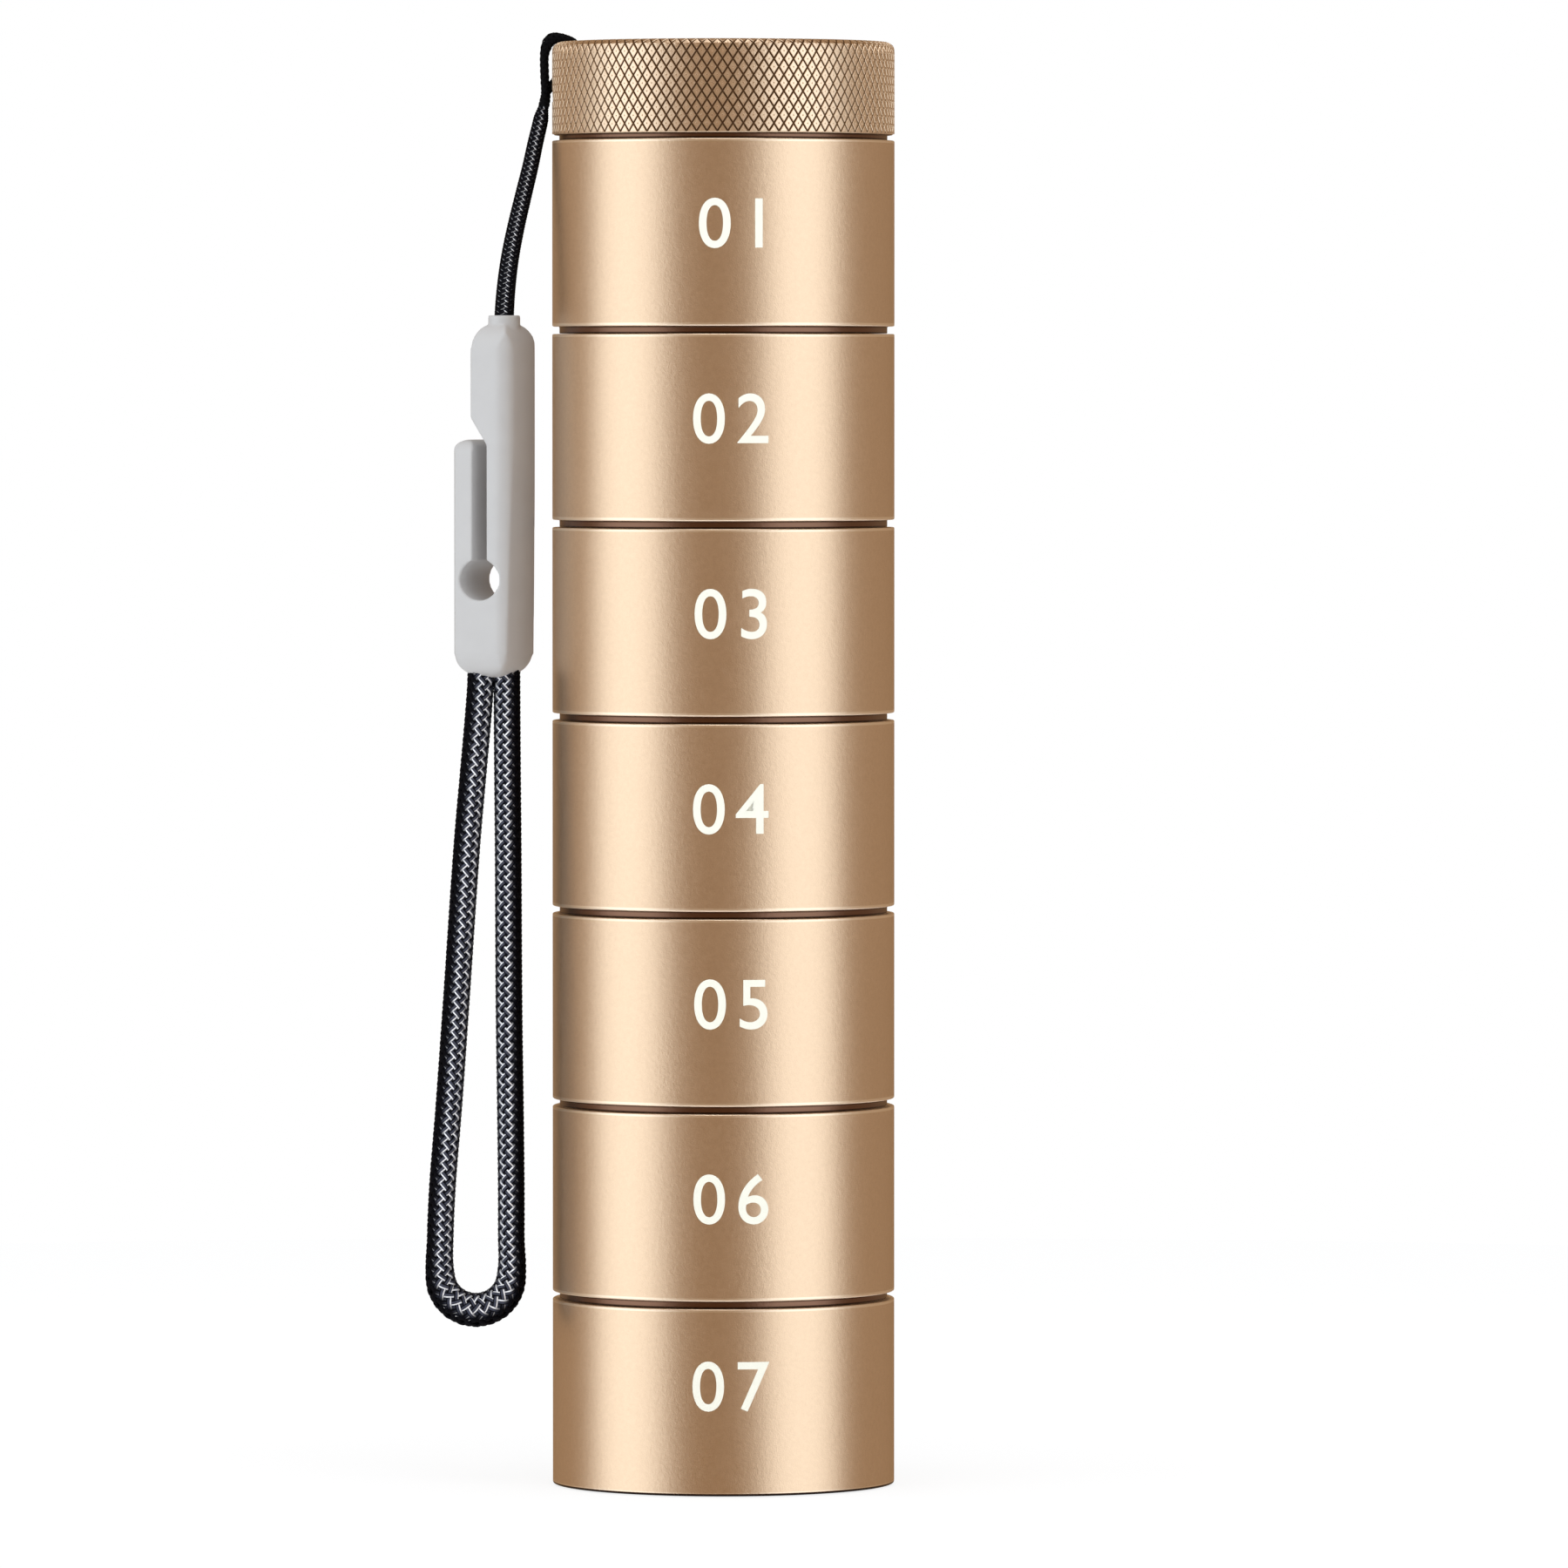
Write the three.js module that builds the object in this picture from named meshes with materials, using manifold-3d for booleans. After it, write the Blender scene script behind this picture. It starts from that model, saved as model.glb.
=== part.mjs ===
// A weekly pill stack: seven round metal compartments that screw into each other under a knurled
// cap, each joint sealed by a rubber ring, with a wrist lanyard tied through an eye in the cap's rim.
// Units are millimetres, +Z is up, and the origin is the centre of the base that it stands on.
import * as THREE from 'three';
import { mergeVertices } from 'three/addons/utils/BufferGeometryUtils.js';
import Module from 'manifold-3d';

const wasm = await Module();
wasm.setup();

// Sizes that the whole stack shares
const compartmentCount = 7;
const bodyRadius = 16;
const sleeveHeight = 17.35;
const grooveHeight = 0.7;
const grooveDepth = 0.67;
const capHeight = 8.67;
const capGrooveHeight = 0.53;
const seatGap = 0.05;
const roundSegments = 36;

// The screwed joint: a neck with a sealing ring below its thread, and the socket that takes it
const neckRadius = 13.6;
const neckHeight = 4.5;
const neckChamfer = 0.4;
const chamberRadius = 12;
const glandRadius = 12.9;
const glandHeight = 1.3;
const sealSection = 1;
const sealClearance = 0.15;
const sealSides = 6;
const threadClearance = 0.25;
const mouthClearance = 0.3;
const mouthHeight = 1.9;
const socketHeadroom = 0.35;
const floorThickness = 1.2;
const baseThickness = 1.5;

// Edges that the fingers meet
const sleeveFoot = 0.4;
const sleeveEdge = 0.15;
const baseEdge = 0.25;
const capEdge = 0.2;
const capCrownRadius = 1;

// The eye drilled aslant through the cap's rim, from its top face to its side
const eyeRadius = 0.7;
const eyeInset = 2.25;
const eyeDrop = 4.2;
const eyeSides = 12;
const cutOverrun = 1.5;

// Where the lanyard hangs from its string, out from the rim and down from the cap's top
const hangStandOff = 0.6;
const hangDrop = 5.1;

const stringDiameter = 0.8;
const cordDiameter = 1.9;
const loopDiameter = 2.4;
const cordSides = 8;

const pitch = sleeveHeight + grooveHeight;
const stepRadius = bodyRadius - grooveDepth;
const socketRadius = neckRadius + threadClearance;
const sealInner = glandRadius + sealClearance;
const sealOuter = sealInner + sealSection;
const mouthRadius = sealOuter + mouthClearance;
const socketDepth = neckHeight + socketHeadroom;

const finishes = {
  champagne: new THREE.MeshStandardMaterial({ color: 0xc9a27c, roughness: 0.38, metalness: 1 }),
  rubber: new THREE.MeshStandardMaterial({ color: 0x1c1b1a, roughness: 0.7, metalness: 0 }),
  blackString: new THREE.MeshStandardMaterial({ color: 0x101013, roughness: 0.8, metalness: 0 }),
  braid: new THREE.MeshStandardMaterial({ color: 0x1b1e2b, roughness: 0.85, metalness: 0 }),
  greyPlastic: new THREE.MeshStandardMaterial({ color: 0xc9caca, roughness: 0.5, metalness: 0 }),
};

const pillStack = new THREE.Group();

function addPiece(parent, name, geometry, material) {
  const piece = new THREE.Mesh(geometry, material);
  piece.name = name;
  parent.add(piece);
  return piece;
}

// A profile of [radius, height] pairs turned about +Z
function turned(profile) {
  const points = profile.map(([radius, height]) => new THREE.Vector2(radius, height));
  return new THREE.LatheGeometry(points, roundSegments).rotateX(Math.PI / 2);
}

function toSolid(geometry) {
  const bare = geometry.clone();
  bare.deleteAttribute('normal');
  bare.deleteAttribute('uv');
  const merged = mergeVertices(bare);
  return new wasm.Manifold(new wasm.Mesh({
    numProp: 3,
    vertProperties: new Float32Array(merged.attributes.position.array),
    triVerts: new Uint32Array(merged.index.array),
  }));
}

function toGeometry(solid) {
  const mesh = solid.getMesh();
  const geometry = new THREE.BufferGeometry();
  geometry.setAttribute('position', new THREE.BufferAttribute(mesh.vertProperties, 3));
  geometry.setIndex(new THREE.BufferAttribute(mesh.triVerts, 1));
  geometry.computeVertexNormals();
  return geometry;
}

// A round rod from one point to another
function rod(from, to, radius, sides) {
  const along = new THREE.Vector3().subVectors(to, from);
  const geometry = new THREE.CylinderGeometry(radius, radius, along.length(), sides);
  const upright = new THREE.Vector3(0, 1, 0);
  const turn = new THREE.Quaternion().setFromUnitVectors(upright, along.clone().normalize());
  const middle = new THREE.Vector3().addVectors(from, to).multiplyScalar(1 / 2);
  return geometry.applyQuaternion(turn).translate(middle.x, middle.y, middle.z);
}

// A cord's solid along a route of [x, y, z] points
function cordAlong(route, diameter, steps) {
  const path = new THREE.CatmullRomCurve3(route.map((point) => new THREE.Vector3(...point)));
  const section = new THREE.Shape().absarc(0, 0, diameter / 2, 0, 2 * Math.PI);
  return new THREE.ExtrudeGeometry(section, {
    extrudePath: path,
    steps,
    curveSegments: cordSides / 2,
  });
}

// The neck that stands on every sleeve: gland, plain thread cylinder, lead-in and open chamber
function neckProfile(top, chamberFloor) {
  const neckTop = top + neckHeight;
  return [
    [bodyRadius, top - sleeveEdge],
    [bodyRadius - sleeveEdge, top],
    [glandRadius, top],
    [glandRadius, top + glandHeight],
    [neckRadius, top + glandHeight],
    [neckRadius, neckTop - neckChamfer],
    [neckRadius - neckChamfer, neckTop],
    [chamberRadius, neckTop],
    [chamberRadius, chamberFloor],
    [0, chamberFloor],
  ];
}

// The socket under a piece, up to the step that forms the groove above the piece below
function socketProfile(stepHeight) {
  return [
    [0, socketDepth],
    [socketRadius, socketDepth],
    [socketRadius, mouthHeight],
    [mouthRadius, mouthHeight],
    [mouthRadius, seatGap],
    [stepRadius, seatGap],
    [stepRadius, stepHeight],
  ];
}

// Heights count from the face that the piece seats on
function compartment() {
  return turned([
    ...socketProfile(grooveHeight),
    [bodyRadius - sleeveFoot, grooveHeight],
    [bodyRadius, grooveHeight + sleeveFoot],
    ...neckProfile(pitch, socketDepth + floorThickness),
  ]);
}

function baseCompartment() {
  return turned([
    [0, 0],
    [bodyRadius - baseEdge, 0],
    [bodyRadius, baseEdge],
    ...neckProfile(sleeveHeight, baseThickness),
  ]);
}

function sealRing() {
  const middleRadius = (sealInner + sealOuter) / 2;
  const section = Array.from({ length: sealSides + 1 }, (_, side) => {
    const angle = ((side % sealSides) * 2 * Math.PI) / sealSides;
    return [
      middleRadius + (Math.cos(angle) * sealSection) / 2,
      (Math.sin(angle) * sealSection) / 2,
    ];
  });
  return turned(section);
}

// A quarter round from the side of the cap to its top face
function crownProfile(top) {
  const steps = 3;
  return Array.from({ length: steps + 1 }, (_, step) => {
    const angle = (step * Math.PI) / 2 / steps;
    return [
      bodyRadius - capCrownRadius * (1 - Math.cos(angle)),
      top - capCrownRadius * (1 - Math.sin(angle)),
    ];
  });
}

function knurledCap() {
  const top = capGrooveHeight + capHeight;
  const blank = turned([
    ...socketProfile(capGrooveHeight),
    [bodyRadius - capEdge, capGrooveHeight],
    [bodyRadius, capGrooveHeight + capEdge],
    ...crownProfile(top),
    [0, top],
  ]);
  const eyeTop = new THREE.Vector3(eyeInset - bodyRadius, 0, top);
  const eyeSide = new THREE.Vector3(-bodyRadius, 0, top - eyeDrop);
  const along = new THREE.Vector3().subVectors(eyeSide, eyeTop).setLength(cutOverrun);
  const drill = rod(eyeTop.clone().sub(along), eyeSide.clone().add(along), eyeRadius, eyeSides);
  return toGeometry(toSolid(blank).subtract(toSolid(drill)));
}

// The string from the lanyard's head over the rim, down through the eye and back to the head,
// counted from the rim's top corner
const stringRoute = [
  [-0.6, -0.45, -4.95],
  [-0.66, -0.42, -3.6],
  [-0.68, -0.36, -2.2],
  [-0.68, -0.28, -1],
  [-0.6, -0.2, -0.2],
  [-0.25, -0.12, 0.45],
  [0.45, -0.05, 0.78],
  [1.3, 0, 0.8],
  [1.95, 0, 0.55],
  [2.25, 0, 0.05],
  [2.12, 0, -0.45],
  [1.71, 0, -1.05],
  [0.9, 0, -2.5],
  [0.35, 0.05, -3.55],
  [-0.05, 0.16, -4.2],
  [-0.38, 0.33, -4.62],
  [-0.6, 0.45, -4.95],
];

// The braided cord from the lanyard's head to its clip, counted from the point it hangs from
const cordRoute = [
  [-0.58, 0, -2.65],
  [-0.95, 0, -4.2],
  [-1.42, 0, -6.4],
  [-2.1, 0, -9.2],
  [-2.85, 0, -12.4],
  [-3.4, 0, -15.3],
  [-3.75, 0, -18.2],
  [-3.9, 0, -20.55],
  [-3.9, 0, -21.3],
];

// The wrist loop: down from the clip, round its free end and up again, from the same point
const loopRoute = [
  [-6.3, 0.75, -54.6],
  [-6.5, 0.75, -57.5],
  [-6.95, 0.74, -63.5],
  [-7.4, 0.7, -69.5],
  [-8.5, 0.6, -85.4],
  [-9.15, 0.5, -94.5],
  [-9.75, 0.4, -102],
  [-9.95, 0.35, -106.5],
  [-9.95, 0.3, -109.5],
  [-9.5, 0.3, -111.55],
  [-8.3, 0.3, -112.8],
  [-6.63, 0.3, -113.25],
  [-4.95, 0.3, -112.8],
  [-3.75, 0.3, -111.55],
  [-3.3, 0.3, -109.5],
  [-3.3, 0.35, -106.5],
  [-3.3, 0.4, -102],
  [-3.38, 0.5, -94.5],
  [-3.5, 0.6, -85.4],
  [-3.58, 0.7, -69.5],
  [-3.65, 0.74, -63.5],
  [-3.7, 0.75, -57.5],
  [-3.7, 0.75, -54.6],
];

const stringSteps = 26;
const cordSteps = 8;
const loopSteps = 50;

// The lanyard's head, where the two strands of the string run into the braid: an oval that
// swells to the round cord
const headTopGap = 0.5;
const headTopHalf = { x: 0.48, y: 0.9 };
const headBase = { x: -0.5, z: -2.3 };
const headBaseRadius = 0.92;
const headRings = 4;
const headSides = 12;
const swellShares = [0, 0.45, 0.85, 1];

function ringOf(centre, halfX, halfY) {
  return Array.from({ length: headSides }, (_, side) => {
    const angle = (side * 2 * Math.PI) / headSides;
    return [centre.x + halfX * Math.cos(angle), halfY * Math.sin(angle), centre.z];
  });
}

// A closed skin over level rings of points, from the lowest up
function skinOver(rings) {
  const sides = rings[0].length;
  const faces = [];
  for (let ring = 0; ring + 1 < rings.length; ring += 1) {
    for (let side = 0; side < sides; side += 1) {
      const here = ring * sides + side;
      const next = ring * sides + ((side + 1) % sides);
      faces.push(here, next, next + sides, here, next + sides, here + sides);
    }
  }
  const last = (rings.length - 1) * sides;
  for (let side = 1; side + 1 < sides; side += 1) {
    faces.push(0, side + 1, side, last, last + side, last + side + 1);
  }
  const geometry = new THREE.BufferGeometry();
  geometry.setAttribute('position', new THREE.Float32BufferAttribute(rings.flat(2), 3));
  geometry.setIndex(faces);
  geometry.computeVertexNormals();
  return geometry;
}

function lanyardHead() {
  const rings = Array.from({ length: headRings }, (_, ring) => {
    const down = 1 - ring / (headRings - 1);
    const swell = swellShares[headRings - 1 - ring];
    const centre = {
      x: headBase.x * down,
      z: -headTopGap + (headBase.z + headTopGap) * down,
    };
    return ringOf(
      centre,
      headTopHalf.x + (headBaseRadius - headTopHalf.x) * swell,
      headTopHalf.y + (headBaseRadius - headTopHalf.y) * swell,
    );
  });
  return skinOver(rings);
}

// The moulded clip, drawn from the front with its top at height 0 and its collar on the middle
const clip = {
  turnDegrees: -32,
  thickness: 5.3,
  moulding: 0.2,
  collarRadius: 1.5,
  collarHeight: 1.25,
  collarBore: 1.15,
  collarBoreDepth: 1,
  collarSides: 16,
  shoulderRadius: 1.7,
  upperLeft: -2.1,
  upperRight: 1.7,
  lowerLeft: -4.15,
  lowerRight: 1.4,
  taperStart: 12,
  notchTop: 9.6,
  notchBottom: 12.1,
  hookTop: 11.6,
  hookRadius: 1.4,
  slotWidth: 1.6,
  slotCentre: -1.15,
  keyholeRadius: 1.9,
  keyholeDepth: 24.7,
  footRadius: 2.2,
  height: 33.9,
};

function clipFront() {
  const slotLeft = clip.slotCentre - clip.slotWidth / 2;
  const slotRight = clip.slotCentre + clip.slotWidth / 2;
  const tipRadius = (slotLeft - clip.lowerLeft - clip.hookRadius) / 2;
  const mouthAngle = Math.asin(clip.slotWidth / 2 / clip.keyholeRadius);
  const top = -clip.collarHeight;
  const shoulder = clip.shoulderRadius;
  const foot = clip.footRadius;
  const outline = new THREE.Shape();
  outline.moveTo(clip.upperLeft + shoulder, top);
  outline.quadraticCurveTo(clip.upperLeft, top, clip.upperLeft, top - shoulder);
  outline.lineTo(clip.upperLeft, -clip.notchTop);
  outline.lineTo(slotRight, -clip.notchBottom);
  outline.absarc(
    clip.slotCentre, -clip.keyholeDepth, clip.keyholeRadius,
    Math.PI / 2 - mouthAngle, Math.PI / 2 + mouthAngle, true,
  );
  outline.lineTo(slotLeft, -clip.hookTop - tipRadius);
  outline.quadraticCurveTo(slotLeft, -clip.hookTop, slotLeft - tipRadius, -clip.hookTop);
  outline.lineTo(clip.lowerLeft + clip.hookRadius, -clip.hookTop);
  outline.quadraticCurveTo(
    clip.lowerLeft, -clip.hookTop, clip.lowerLeft, -clip.hookTop - clip.hookRadius,
  );
  outline.lineTo(clip.lowerLeft, foot - clip.height);
  outline.quadraticCurveTo(clip.lowerLeft, -clip.height, clip.lowerLeft + foot, -clip.height);
  outline.lineTo(clip.lowerRight - foot, -clip.height);
  outline.quadraticCurveTo(clip.lowerRight, -clip.height, clip.lowerRight, foot - clip.height);
  outline.lineTo(clip.upperRight, -clip.taperStart);
  outline.lineTo(clip.upperRight, top - shoulder);
  outline.quadraticCurveTo(clip.upperRight, top, clip.upperRight - shoulder, top);
  return new THREE.ExtrudeGeometry(outline, {
    depth: clip.thickness - 2 * clip.moulding,
    curveSegments: 5,
    bevelEnabled: true,
    bevelThickness: clip.moulding,
    bevelSize: clip.moulding,
    bevelOffset: -clip.moulding,
    bevelSegments: 1,
  }).translate(0, 0, clip.moulding - clip.thickness / 2).rotateX(Math.PI / 2);
}

// The clip's outline from the side, wider than the clip, which rounds its shoulders and its foot
function clipSide() {
  const half = clip.thickness / 2;
  const top = -clip.collarHeight;
  const shoulder = clip.shoulderRadius;
  const foot = clip.footRadius;
  const outline = new THREE.Shape();
  outline.moveTo(shoulder - half, top);
  outline.quadraticCurveTo(-half, top, -half, top - shoulder);
  outline.lineTo(-half, foot - clip.height);
  outline.quadraticCurveTo(-half, -clip.height, foot - half, -clip.height);
  outline.lineTo(half - foot, -clip.height);
  outline.quadraticCurveTo(half, -clip.height, half, foot - clip.height);
  outline.lineTo(half, top - shoulder);
  outline.quadraticCurveTo(half, top, half - shoulder, top);
  const width = clip.upperRight - clip.lowerLeft + 2 * cutOverrun;
  return new THREE.ExtrudeGeometry(outline, {
    depth: width,
    curveSegments: 4,
    bevelEnabled: false,
  }).rotateX(Math.PI / 2).rotateZ(Math.PI / 2).translate(clip.lowerLeft - cutOverrun, 0, 0);
}

function lanyardClip() {
  const top = new THREE.Vector3(0, 0, 0);
  const collarFoot = new THREE.Vector3(0, 0, -clip.collarHeight - clip.shoulderRadius);
  const boreFoot = new THREE.Vector3(0, 0, -clip.collarBoreDepth);
  const above = new THREE.Vector3(0, 0, cutOverrun);
  const collar = rod(collarFoot, top, clip.collarRadius, clip.collarSides);
  const bore = rod(boreFoot, above, clip.collarBore, clip.collarSides);
  const block = toSolid(clipFront()).intersect(toSolid(clipSide()));
  return toGeometry(block.add(toSolid(collar)).subtract(toSolid(bore)));
}

// The stack, from the top down: compartment 1 is under the cap and the last one stands on its base
const baseTop = sleeveHeight;
for (let number = compartmentCount; number >= 1; number -= 1) {
  const isBase = number === compartmentCount;
  const seat = isBase ? 0 : baseTop + (compartmentCount - 1 - number) * pitch;
  const shoulder = seat + (isBase ? sleeveHeight : pitch);
  const shape = isBase ? baseCompartment() : compartment();
  addPiece(pillStack, `compartment_${number}`, shape, finishes.champagne).position.z = seat;
  const ringHeight = shoulder + glandHeight / 2;
  addPiece(pillStack, `seal_ring_${number}`, sealRing(), finishes.rubber).position.z = ringHeight;
}

const capSeat = baseTop + (compartmentCount - 1) * pitch;
const capTop = capSeat + capGrooveHeight + capHeight;
addPiece(pillStack, 'knurled_cap', knurledCap(), finishes.champagne).position.z = capSeat;

const rim = new THREE.Group();
rim.position.set(-bodyRadius, 0, capTop);
pillStack.add(rim);
const string = cordAlong(stringRoute, stringDiameter, stringSteps);
addPiece(rim, 'lanyard_string', string, finishes.blackString);

const lanyard = new THREE.Group();
lanyard.position.set(-hangStandOff, 0, -hangDrop);
rim.add(lanyard);
const cord = cordAlong(cordRoute, cordDiameter, cordSteps);
const wristLoop = cordAlong(loopRoute, loopDiameter, loopSteps);
const clipPlace = { x: -3.9, z: -20.4 };
addPiece(lanyard, 'lanyard_head', lanyardHead(), finishes.blackString);
addPiece(lanyard, 'lanyard_cord', cord, finishes.braid);
addPiece(lanyard, 'wrist_loop', wristLoop, finishes.braid);
const moulded = addPiece(lanyard, 'lanyard_clip', lanyardClip(), finishes.greyPlastic);
moulded.position.set(clipPlace.x, 0, clipPlace.z);
moulded.rotation.z = THREE.MathUtils.degToRad(clip.turnDegrees);

export default pillStack;
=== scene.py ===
import bmesh
import bpy
import math
from mathutils import Matrix, Vector
from types import SimpleNamespace


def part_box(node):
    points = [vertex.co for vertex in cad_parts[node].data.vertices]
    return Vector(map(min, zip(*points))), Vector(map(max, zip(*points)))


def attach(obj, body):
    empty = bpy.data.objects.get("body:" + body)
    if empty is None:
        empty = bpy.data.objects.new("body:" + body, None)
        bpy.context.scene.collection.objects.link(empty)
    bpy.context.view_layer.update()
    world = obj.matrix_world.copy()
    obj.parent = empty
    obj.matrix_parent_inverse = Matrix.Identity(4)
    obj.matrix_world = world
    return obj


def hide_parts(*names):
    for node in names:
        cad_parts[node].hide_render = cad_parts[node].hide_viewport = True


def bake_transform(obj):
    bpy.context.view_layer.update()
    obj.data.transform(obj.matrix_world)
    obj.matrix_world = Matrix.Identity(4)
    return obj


# A weekly pill stack: seven screwed metal compartments, a knurled cap and a wrist lanyard.
# Sizes are written in millimetres and turned into metres when a mesh is made.
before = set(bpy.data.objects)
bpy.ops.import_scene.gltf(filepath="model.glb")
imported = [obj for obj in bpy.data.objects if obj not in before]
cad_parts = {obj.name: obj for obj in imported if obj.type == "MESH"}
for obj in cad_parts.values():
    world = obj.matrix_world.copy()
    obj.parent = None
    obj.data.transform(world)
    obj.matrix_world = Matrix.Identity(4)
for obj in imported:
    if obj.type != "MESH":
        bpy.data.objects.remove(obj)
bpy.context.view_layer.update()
mm = 0.001
fullTurn = 2 * math.pi
quarterTurn = math.pi / 2

stack = {
    "count": 7,
    "radius": 16,
    "sleeveHeight": 17.35,
    "grooveHeight": 0.7,
    "grooveDepth": 0.67,
    "seatGap": 0.05,
    "highlightDepth": 0.17,
    "highlightHeight": 0.27,
    "segments": 160,
}
stepRadius = stack["radius"] - stack["grooveDepth"]

# Heights that the pieces seat on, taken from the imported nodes
seats = {stack["count"]: 0.0}
for number in range(1, stack["count"]):
    seats[number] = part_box("compartment_%d" % number)[0].z / mm - stack["seatGap"]
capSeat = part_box("knurled_cap")[0].z / mm - stack["seatGap"]
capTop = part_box("knurled_cap")[1].z / mm
rimCorner = Vector((-stack["radius"], 0, capTop))
hangPoint = rimCorner + Vector((-0.6, 0, -5.1))


# Object helpers
def setAll(thing, **values):
    for name, value in values.items():
        setattr(thing, name, value)
    return thing


def linked(name, data):
    thing = bpy.data.objects.new(name, data)
    bpy.context.scene.collection.objects.link(thing)
    return thing


def aimed(name, data, place, aim):
    # A camera or lamp at one place that looks at another
    turn = (aim - place).to_track_quat("-Z", "Y")
    thing = setAll(linked(name, data), location=place, rotation_mode="QUATERNION")
    return setAll(thing, rotation_quaternion=turn)


def baked(thing):
    # The plain mesh that an object's modifiers make of it
    bpy.context.view_layer.update()
    graph = bpy.context.evaluated_depsgraph_get()
    return bpy.data.meshes.new_from_object(thing.evaluated_get(graph))


# Camera, at the photograph's viewing angle
camera = {
    "place": Vector((5.67, -1220, 103.5)),
    "aim": Vector((5.67, 0, 65.5)),
    "lens": {"lens": 299.3, "sensor_width": 36, "clip_end": 20},
}


def makeCamera():
    lens = setAll(bpy.data.cameras.new("camera"), **camera["lens"])
    body = aimed("camera", lens, camera["place"] * mm, camera["aim"] * mm)
    bpy.context.scene.camera = body


# Node helpers, for shapes and shaders alike
class Wire:
    # An output socket that Python's own signs work on; each of them adds one maths node
    def __init__(self, socket):
        self.socket = socket
        self.tree = socket.id_data
        self.isVector = socket.type in ("VECTOR", "RGBA")

    def of(self, output):
        return Wire(self.socket.node.outputs[output])

    def work(self, operation, *others):
        kind = "ShaderNodeVectorMath" if self.isVector else "ShaderNodeMath"
        return put(self.tree, kind, dict(enumerate((self, *others))), operation=operation)

    def __add__(self, other):
        return self.work("ADD", other)

    def __sub__(self, other):
        return self.work("SUBTRACT", other)

    def __mul__(self, other):
        if self.isVector:
            return put(self.tree, "ShaderNodeVectorMath", {0: self, 3: other}, operation="SCALE")
        return self.work("MULTIPLY", other)

    def __truediv__(self, other):
        return self.work("DIVIDE", other)

    def __mod__(self, other):
        return self.work("MODULO", other)


def feed(node, feeds):
    # Sockets are given by name or number; what goes in is a wire or a plain value
    for key, value in feeds.items():
        if isinstance(key, int):
            socket = node.inputs[key]
        else:
            socket = next(s for s in node.inputs if s.name == key and s.enabled)
        if isinstance(value, Wire):
            node.id_data.links.new(value.socket, socket)
        elif socket.type == "RGBA":
            socket.default_value = (*value[:3], 1)
        else:
            socket.default_value = value


def put(tree, kind, feeds=None, output=0, **settings):
    # Adds a fed node and gives back one of its outputs
    node = setAll(tree.nodes.new(kind), **settings)
    feed(node, feeds or {})
    return Wire(node.outputs[output])


def partsOf(vector):
    x = put(vector.tree, "ShaderNodeSeparateXYZ", {0: vector})
    return x, x.of(1), x.of(2)


def vectorOf(x, y, z):
    return put(x.tree, "ShaderNodeCombineXYZ", {0: x, 1: y, 2: z})


def polar(angle, radius, height):
    return vectorOf(radius * angle.work("COSINE"), radius * angle.work("SINE"), height)


def rangeOf(value, low, high, toLow=0.0, toHigh=1.0, kind="LINEAR"):
    feeds = {"Value": value, "From Min": low, "From Max": high, "To Min": toLow, "To Max": toHigh}
    return put(value.tree, "ShaderNodeMapRange", feeds, interpolation_type=kind)


def stored(geometry, name, value, domain="POINT"):
    feeds = {"Geometry": geometry, "Name": name, "Value": value}
    kind = "GeometryNodeStoreNamedAttribute"
    return put(geometry.tree, kind, feeds, data_type="FLOAT", domain=domain)


def moved(geometry, place):
    feeds = {"Geometry": geometry, "Position": place}
    return put(geometry.tree, "GeometryNodeSetPosition", feeds)


def joined(parts):
    node = parts[0].tree.nodes.new("GeometryNodeJoinGeometry")
    for part in parts:
        feed(node, {0: part})
    return Wire(node.outputs[0])


def newTree(name, kind, inputs, outputs):
    # An input is given as its usual number, or as the kind of thing that it takes
    tree = bpy.data.node_groups.new(name, kind)
    for side, labels in (("INPUT", inputs), ("OUTPUT", outputs)):
        for label, value in labels.items():
            sort = value if isinstance(value, str) else type(value).__name__.capitalize()
            socketType = "NodeSocket" + sort.replace("Length", "Float")
            socket = tree.interface.new_socket(label, in_out=side, socket_type=socketType)
            if sort == "Length":
                socket.subtype = "DISTANCE"
            if sort != value:
                socket.default_value = value
    sockets = tree.nodes.new("NodeGroupInput").outputs
    given = SimpleNamespace(**{s.name: Wire(s) for s in sockets if s.name})
    return tree, given, tree.nodes.new("NodeGroupOutput")


def shapeTree(name, inputs, lengths):
    both = {"Geometry": "Geometry"}
    every = {**both, "Material": "Material", **inputs, **dict.fromkeys(lengths, "Length")}
    return newTree(name, "GeometryNodeTree", every, both)


def closeTree(geometry, given, result):
    real = put(geometry.tree, "GeometryNodeRealizeInstances", {"Geometry": geometry})
    feeds = {"Geometry": real, "Material": given.Material}
    feed(result, {0: put(geometry.tree, "GeometryNodeSetMaterial", feeds)})
    return geometry.tree


def settle(name, base, tree, values):
    # Runs a tree once on a base mesh; lengths go in as millimetres
    holder = linked(name, base)
    modifier = holder.modifiers.new(name, "NODES")
    modifier.node_group = tree
    for item in tree.interface.items_tree:
        if item.in_out == "INPUT" and item.name in values:
            isLength = getattr(item, "subtype", "") == "DISTANCE"
            modifier[item.identifier] = values[item.name] * mm if isLength else values[item.name]
    made = baked(holder)
    holder.modifiers.remove(modifier)
    bpy.data.objects.remove(holder)
    return made


# Mesh helpers
def pieceFrom(name, mesh, material=None):
    if material is not None:
        mesh.materials.clear()
        mesh.materials.append(material)
    return linked(name, mesh)


def meshFrom(bm, name, sharpDegrees=35):
    # Takes the mesh out of bm; with no angle its faces stay flat
    mesh = bpy.data.meshes.new(name)
    bm.to_mesh(mesh)
    bm.free()
    if sharpDegrees is not None:
        smoothed(mesh, sharpDegrees)
    return mesh


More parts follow.
